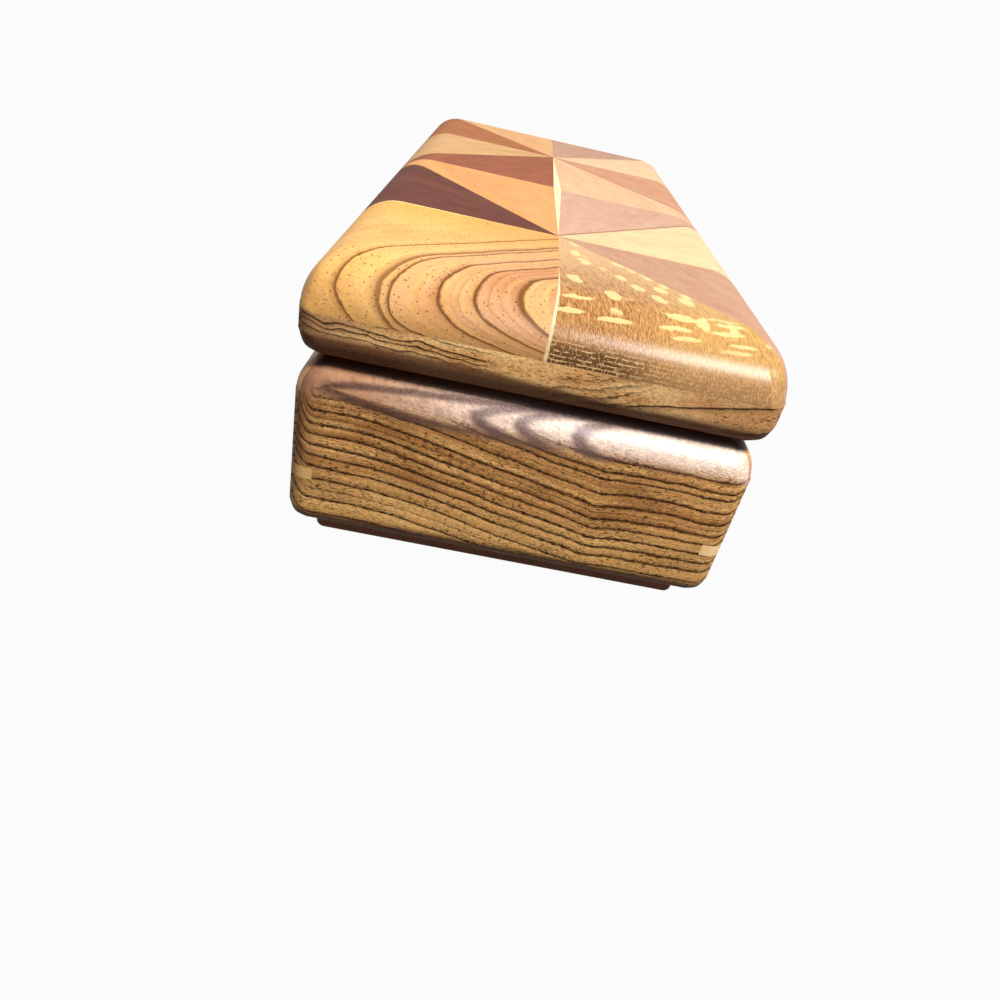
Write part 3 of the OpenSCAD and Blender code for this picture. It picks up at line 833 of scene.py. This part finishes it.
# Each plain wood has a light and a dark tone
pale_maple = plain_wood("maple_slivers", tint(252, 240, 196), tint(238, 212, 150), 0, 0.4, 0.12)
TOP_PIECES = [
    ("square_near_back", [NEAR_CENTRE, LINE_START, line_back, near_back, over_near_back],
     "golden_wood", golden_wood("golden_arches")),
    ("wedge_near_front_end", [NEAR_CENTRE, LINE_START, line_front, near_front],
     "leopardwood", leopardwood("leopardwood_flecks")),
    ("wedge_near_front_side", [NEAR_CENTRE, near_front, over_near_front],
     "pink_brown_wood",
     plain_wood("pink_brown_near", tint(195, 155, 125), tint(170, 125, 100), radians(40))),
    ("wedge_second_back_side", [NEAR_CENTRE, over_near_back, near_back_tip],
     "walnut", plain_wood("walnut_heart", tint(85, 45, 35), tint(115, 65, 50), radians(60))),
    ("wedge_second_back_centre", [NEAR_CENTRE, BACK_TIP, SLIVER_BACK],
     "orange_wood", plain_wood("orange_second", tint(225, 165, 105), tint(205, 140, 85), radians(20))),
    ("wedge_second_front_centre", [NEAR_CENTRE, SLIVER_FRONT, FRONT_TIP],
     "pink_brown_wood",
     plain_wood("pink_brown_second", tint(205, 165, 140), tint(185, 140, 115), radians(-20),
                joint=(NEAR_CENTRE, FRONT_TIP))),
    ("wedge_second_front_side", [NEAR_CENTRE, near_front_tip, over_near_front],
     "cream_wood", plain_wood("cream_second", tint(235, 200, 155), tint(220, 175, 130), radians(-60))),
    ("wedge_third_back_centre", [FAR_CENTRE, SLIVER_BACK, BACK_TIP],
     "red_brown_wood", plain_wood("red_brown_third", tint(160, 95, 65), tint(135, 75, 50), radians(-20))),
    ("wedge_third_back_side", [FAR_CENTRE, far_back_tip, over_far_back],
     "tan_wood", plain_wood("tan_third", tint(215, 170, 120), tint(190, 145, 95), radians(-60))),
    ("wedge_third_front_centre", [FAR_CENTRE, FRONT_TIP, SLIVER_FRONT],
     "peach_wood", plain_wood("peach_third", tint(235, 185, 145), tint(220, 160, 120), radians(20))),
    ("wedge_third_front_side", [FAR_CENTRE, over_far_front, far_front_tip],
     "pink_brown_wood",
     plain_wood("pink_brown_third", tint(205, 155, 120), tint(185, 130, 100), radians(60),
                joint=(FAR_CENTRE, FRONT_TIP))),
    ("wedge_far_back_side", [FAR_CENTRE, over_far_back, far_back],
     "brown_wood", plain_wood("brown_far", tint(180, 115, 70), tint(150, 90, 55), radians(60))),
    ("wedge_far_back_end", [FAR_CENTRE, far_back, Vector((FAR_X, 0, 0))],
     "orange_wood", plain_wood("orange_far", tint(225, 175, 125), tint(205, 150, 100), radians(20))),
    ("wedge_far_front_side", [FAR_CENTRE, far_front, over_far_front],
     "peach_wood", plain_wood("peach_far", tint(235, 195, 155), tint(220, 175, 135), radians(-60))),
    ("wedge_far_front_end", [FAR_CENTRE, Vector((FAR_X, 0, 0)), far_front],
     "mauve_brown_wood",
     plain_wood("mauve_brown_far", tint(195, 155, 130), tint(170, 130, 105), radians(-20))),
    ("centre_sliver", [NEAR_CENTRE, SLIVER_FRONT, FAR_CENTRE, SLIVER_BACK],
     "maple", pale_maple),
    ("near_line_sliver", [LINE_START, line_back, line_front],
     "maple", plain_wood("maple_line", tint(240, 216, 172), tint(206, 172, 124), 0, 0.4, 0.5))
]
for node, plan, slot, finish in TOP_PIECES:
    piece = copy_of(lid_block, node + "_sanded")
    saw(piece, Vector((0, 0, RAIL_TOP)), Vector((0, 0, -1)))
    saw_plan(piece, plan)
    fit(piece, node, "lid", finish)

bpy.data.objects.remove(body_block)
bpy.data.objects.remove(lid_block)


# Felt on the floor

lining_low, lining_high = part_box("floor_lining")
bpy.ops.object.select_all(action="DESELECT")
bpy.ops.mesh.primitive_grid_add(x_subdivisions=60, y_subdivisions=26, size=1, location=(0, 0, 0))
lining = bpy.context.object
lining.name = "felt_floor"
lining.scale = (lining_high.x - lining_low.x, lining_high.y - lining_low.y, 1)
lining.location = ((lining_low.x + lining_high.x) / 2, (lining_low.y + lining_high.y) / 2, lining_low.z)
bpy.ops.object.transform_apply(location=True, rotation=True, scale=True)
thick = lining.modifiers.new("thick", "SOLIDIFY")
thick.thickness = lining_high.z - lining_low.z
thick.offset = 1
bpy.ops.object.modifier_apply(modifier="thick")
lining.data.materials.append(felt("green_felt"))
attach(lining, "box")
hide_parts("floor_lining")


# Finishes of the nodes that keep their own shape

def dress(node, finish):
    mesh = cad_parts[node].data
    mesh.materials.clear()
    mesh.materials.append(finish)


dress("base_board", plain_wood("dark_base", tint(170, 112, 85), tint(130, 85, 62), 0, 0.5, 0.1))
dress("lid_backing_panel", plain_wood("panel", tint(168, 116, 80), tint(140, 90, 58), 0, 0.6, 0.1))
brass = satin_brass("satin_brass")
for node in (
    "hinge_near_body_leaf", "hinge_far_body_leaf", "hinge_near_pin", "hinge_far_pin", "hinge_body_screws",
    "hinge_near_lid_leaf", "hinge_far_lid_leaf", "hinge_lid_screws"
):
    dress(node, brass)


# Floor, light and camera

BACKDROP_WHITE = 0.96
FLOOR_DROP = 0.2 * MM


def seen_as_backdrop(nodes, links):
    """1 for the rays that show the backdrop itself: to the camera, in a gloss or through glass."""
    rays = nodes.new("ShaderNodeLightPath")
    total = rays.outputs["Is Camera Ray"]
    for kind in ("Is Glossy Ray", "Is Transmission Ray"):
        either = nodes.new("ShaderNodeMath")
        either.operation = "MAXIMUM"
        links.new(total, either.inputs[0])
        links.new(rays.outputs[kind], either.inputs[1])
        total = either.outputs[0]
    return total


def plain_floor():
    bpy.ops.object.select_all(action="DESELECT")
    bpy.ops.mesh.primitive_plane_add(size=60, location=(0, 0, -FLOOR_DROP))
    floor = bpy.context.object
    floor.name = "floor"
    pale = bpy.data.materials.new("pale_floor")
    pale.use_nodes = True
    nodes, links = pale.node_tree.nodes, pale.node_tree.links
    surface = nodes["Principled BSDF"]
    surface.inputs["Base Color"].default_value = (0.1, 0.1, 0.1, 1)
    surface.inputs["Roughness"].default_value = 0.9
    glow = nodes.new("ShaderNodeEmission")
    seen = nodes.new("ShaderNodeMath")
    seen.operation = "MULTIPLY"
    seen.inputs[1].default_value = BACKDROP_WHITE
    links.new(seen_as_backdrop(nodes, links), seen.inputs[0])
    blend = nodes.new("ShaderNodeMixShader")
    links.new(seen.outputs[0], blend.inputs[0])
    links.new(surface.outputs[0], blend.inputs[1])
    links.new(glow.outputs[0], blend.inputs[2])
    links.new(blend.outputs[0], nodes["Material Output"].inputs["Surface"])
    floor.data.materials.append(pale)


def white_room():
    world = bpy.data.worlds.new("room")
    bpy.context.scene.world = world
    world.use_nodes = True
    nodes, links = world.node_tree.nodes, world.node_tree.links
    room = nodes["Background"]
    room.inputs["Color"].default_value = (1.0, 0.99, 0.97, 1)
    room.inputs["Strength"].default_value = 0.05
    white = nodes.new("ShaderNodeBackground")
    white.inputs["Color"].default_value = (BACKDROP_WHITE, BACKDROP_WHITE, BACKDROP_WHITE, 1)
    blend = nodes.new("ShaderNodeMixShader")
    links.new(seen_as_backdrop(nodes, links), blend.inputs[0])
    links.new(room.outputs[0], blend.inputs[1])
    links.new(white.outputs[0], blend.inputs[2])
    links.new(blend.outputs[0], nodes["World Output"].inputs["Surface"])


def soft_lamp(name, towards, distance, width, height, power, aim=(0, 0, 0.05)):
    """A soft box that stands off in a direction and faces the object."""
    lamp = bpy.data.lights.new(name, "AREA")
    lamp.shape = "RECTANGLE"
    lamp.size = width
    lamp.size_y = height
    lamp.energy = power
    holder = bpy.data.objects.new(name, lamp)
    bpy.context.scene.collection.objects.link(holder)
    way = Vector(towards).normalized()
    holder.location = Vector(aim) + way * distance
    holder.rotation_euler = way.to_track_quat("Z", "Y").to_euler()
    return holder


plain_floor()
white_room()
key = soft_lamp("key_lamp", (-0.47, -0.25, 0.83), 1.1, 0.2, 0.2, 20)
key.visible_glossy = False
window = soft_lamp("window_lamp", (-0.70, -0.43, 0.57), 0.9, 0.54, 0.26, 25, aim=(-0.12, -0.02, 0.06))
window.visible_diffuse = False
back = soft_lamp("back_lamp", (0.6, 0.5, 0.62), 1.6, 1.2, 1.2, 7)
back.visible_glossy = False

# The camera, as fitted to the box's outline and joints in the photo
camera = bpy.data.cameras.new("camera")
camera.sensor_width = 36
camera.lens = 27.455
camera.shift_x = -0.00093
camera.shift_y = 0.00375
camera.clip_start = 0.01
viewer = bpy.data.objects.new("camera", camera)
bpy.context.scene.collection.objects.link(viewer)
viewer.location = (-0.278387, 0.015535, 0.123527)
viewer.rotation_euler = (radians(56.4278), radians(-11.3838), radians(-87.2649))
bpy.context.scene.camera = viewer
bpy.context.scene.view_settings.view_transform = "Standard"
